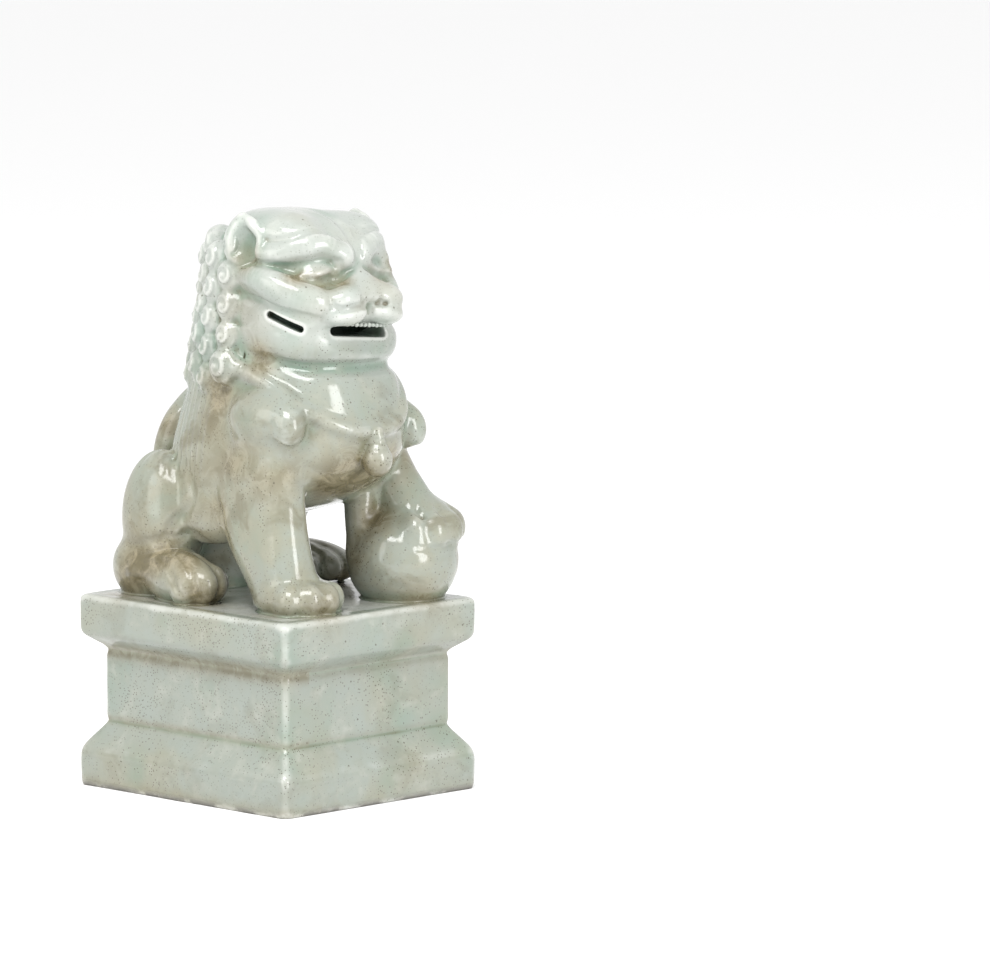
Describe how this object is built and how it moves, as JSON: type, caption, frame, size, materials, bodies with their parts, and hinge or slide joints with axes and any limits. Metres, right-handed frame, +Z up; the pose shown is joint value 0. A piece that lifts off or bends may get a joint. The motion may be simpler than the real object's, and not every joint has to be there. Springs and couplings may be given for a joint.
{
  "type": "foo dog statue",
  "caption": "Seated celadon-glazed porcelain guardian lion with one forepaw on a ball, luted to a hollow rectangular plinth; stands on its foot ring.",
  "frame": {"origin": "centre of the plinth's footprint, on the surface it stands on", "axes": "+Z up, the lion faces -Y, its left side and the ball are at +X"},
  "size_m": [0.13, 0.1495, 0.2865],
  "materials": {
    "celadon_glaze": "gloss"
  },
  "bodies": {
    "root": {"back": "celadon_glaze", "ball": "celadon_glaze", "breast": "celadon_glaze", "breast_bell": "celadon_glaze", "collar": "celadon_glaze", "head": "celadon_glaze", "left_brow": "celadon_glaze", "left_ear": "celadon_glaze", "left_eye": "celadon_glaze", "left_foreleg": "celadon_glaze", "left_forepaw": "celadon_glaze", "left_haunch": "celadon_glaze", "left_hind_paw": "celadon_glaze", "left_mane_curls": "celadon_glaze", "left_shoulder_bell": "celadon_glaze", "lower_jaw": "celadon_glaze", "nape_curls": "celadon_glaze", "nose": "celadon_glaze", "plinth_back_wall": "celadon_glaze", "plinth_cap": "celadon_glaze", "plinth_foot": "celadon_glaze", "plinth_front_wall": "celadon_glaze", "plinth_left_wall": "celadon_glaze", "plinth_right_wall": "celadon_glaze", "right_brow": "celadon_glaze", "right_ear": "celadon_glaze", "right_eye": "celadon_glaze", "right_foreleg": "celadon_glaze", "right_forepaw": "celadon_glaze", "right_haunch": "celadon_glaze", "right_hind_paw": "celadon_glaze", "right_mane_curls": "celadon_glaze", "right_shoulder_bell": "celadon_glaze", "tail": "celadon_glaze", "upper_teeth": "celadon_glaze"}
  },
  "joints": []
}
